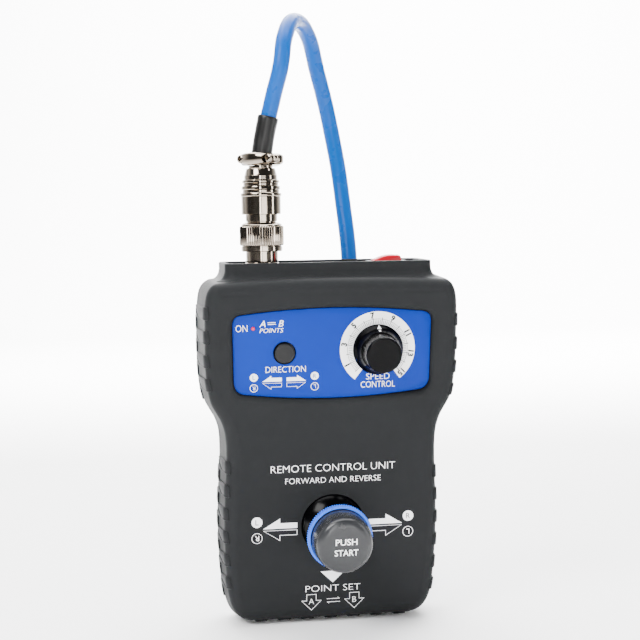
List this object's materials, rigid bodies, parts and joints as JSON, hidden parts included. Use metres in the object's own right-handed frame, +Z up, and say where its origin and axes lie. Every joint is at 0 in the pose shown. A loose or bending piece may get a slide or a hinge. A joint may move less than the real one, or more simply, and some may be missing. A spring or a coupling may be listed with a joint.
{
  "type": "slider motion controller",
  "caption": "Wired hand-held motion controller with a waisted wedge case, speed knob, direction button, joystick with push cap, power rocker and plugged blue cord.",
  "frame": {"origin": "bottom centre of the controller without its free cord: on the floor under the middle of its width and of its depth from push cap to back", "axes": "+Z up the case towards the connector, +X to the right as the user looks at the control face, -Y out of the control face"},
  "size_m": [0.1176, 0.1753, 0.2557],
  "materials": {
    "case_grey": "fine moulded grain, dark grey",
    "black_plastic": "smooth black",
    "gloss_black": "polished black",
    "dark_grey_cap": "satin dark grey",
    "panel_blue": "blue printed overlay, semi gloss",
    "ring_blue": "light blue, satin",
    "cord_blue": "blue cable jacket",
    "signal_red": "red translucent plastic",
    "led_red": "clear tinted lens",
    "heat_shrink": "black heat shrink tube",
    "nickel": "satin nickel plate",
    "steel": "bright zinc plated steel",
    "board_green": "solder mask"
  },
  "bodies": {
    "case": {"front_shell": "case_grey", "rear_shell": "case_grey", "case_screw_1": "steel", "case_screw_2": "steel", "case_screw_3": "steel", "case_screw_4": "steel", "top_end_panel": "black_plastic", "power_switch_body": "black_plastic", "socket_body": "nickel", "socket_nut": "nickel", "plug_shell": "nickel", "clamp_jaw": "nickel", "clamp_screw_1": "nickel", "clamp_screw_2": "nickel", "heat_shrink_sleeve": "heat_shrink", "panel_overlay": "panel_blue", "status_led": "led_red", "direction_switch_housing": "black_plastic", "potentiometer_body": "steel", "potentiometer_nut": "nickel", "control_board": "board_green", "main_board": "board_green", "board_screw_1": "steel", "board_screw_2": "steel", "joystick_housing": "black_plastic", "joystick_sensor_right": "black_plastic", "joystick_sensor_top": "black_plastic", "joystick_screw_1": "steel", "joystick_screw_2": "steel", "joystick_screw_3": "steel", "joystick_screw_4": "steel", "cord": "cord_blue", "cord_tail": "cord_blue", "cord_coil": "cord_blue", "far_plug_shell": "nickel", "far_clamp_jaw": "nickel", "far_clamp_screw_1": "nickel", "far_clamp_screw_2": "nickel", "far_heat_shrink_sleeve": "heat_shrink"},
    "power_rocker": {"power_rocker": "signal_red"},
    "coupling_nut": {"coupling_nut": "nickel"},
    "far_coupling_nut": {"far_coupling_nut": "nickel"},
    "direction_button": {"direction_button": "dark_grey_cap", "direction_switch_plunger": "black_plastic"},
    "speed_knob": {"speed_knob": "gloss_black", "knob_grub_screw": "steel", "potentiometer_shaft": "steel"},
    "joystick_yoke": {"joystick_yoke": "steel"},
    "joystick_stick": {"joystick_stick": "steel", "joystick_dome": "gloss_black", "joystick_ring": "ring_blue", "start_switch": "black_plastic"},
    "start_button": {"start_button": "dark_grey_cap"}
  },
  "joints": [
    {"name": "power_rocker_tilt", "type": "hinge", "parent": "case", "child": "power_rocker", "pos_m": [0.0276, 0.01566, 0.148], "axis": [0, 1, 0], "range_deg": [0, 18]},
    {"name": "coupling_nut_turn", "type": "hinge", "parent": "case", "child": "coupling_nut", "pos_m": [-0.0256, 0.01566, 0.1619], "axis": [0, 0, 1], "continuous": true},
    {"name": "far_coupling_nut_turn", "type": "hinge", "parent": "case", "child": "far_coupling_nut", "pos_m": [0.0577, 0.13446, 0.0092], "axis": [1, 0, 0], "continuous": true},
    {"name": "direction_button_press", "type": "slide", "parent": "case", "child": "direction_button", "axis": [0, 0.9942, 0.108], "range_m": [0, 0.0008], "stiffness_N_per_m": 1200, "springref_m": -0.0004},
    {"name": "speed_knob_turn", "type": "hinge", "parent": "case", "child": "speed_knob", "pos_m": [0.0185, -0.00852, 0.11537], "axis": [0, 0.9942, 0.108], "range_deg": [-144, 126]},
    {"name": "joystick_left_right", "type": "hinge", "parent": "case", "child": "joystick_yoke", "pos_m": [0, 0.00838, 0.04312], "axis": [0, -0.108, 0.9942], "range_deg": [-15, 15], "stiffness_Nm_per_rad": 0.3},
    {"name": "joystick_up_down", "type": "hinge", "parent": "joystick_yoke", "child": "joystick_stick", "pos_m": [0, 0.00838, 0.04312], "axis": [1, 0, 0], "range_deg": [-15, 15], "stiffness_Nm_per_rad": 0.3},
    {"name": "start_button_press", "type": "slide", "parent": "joystick_stick", "child": "start_button", "axis": [0, 0.9942, 0.108], "range_m": [0, 0.0015], "stiffness_N_per_m": 900, "springref_m": -0.0005}
  ]
}
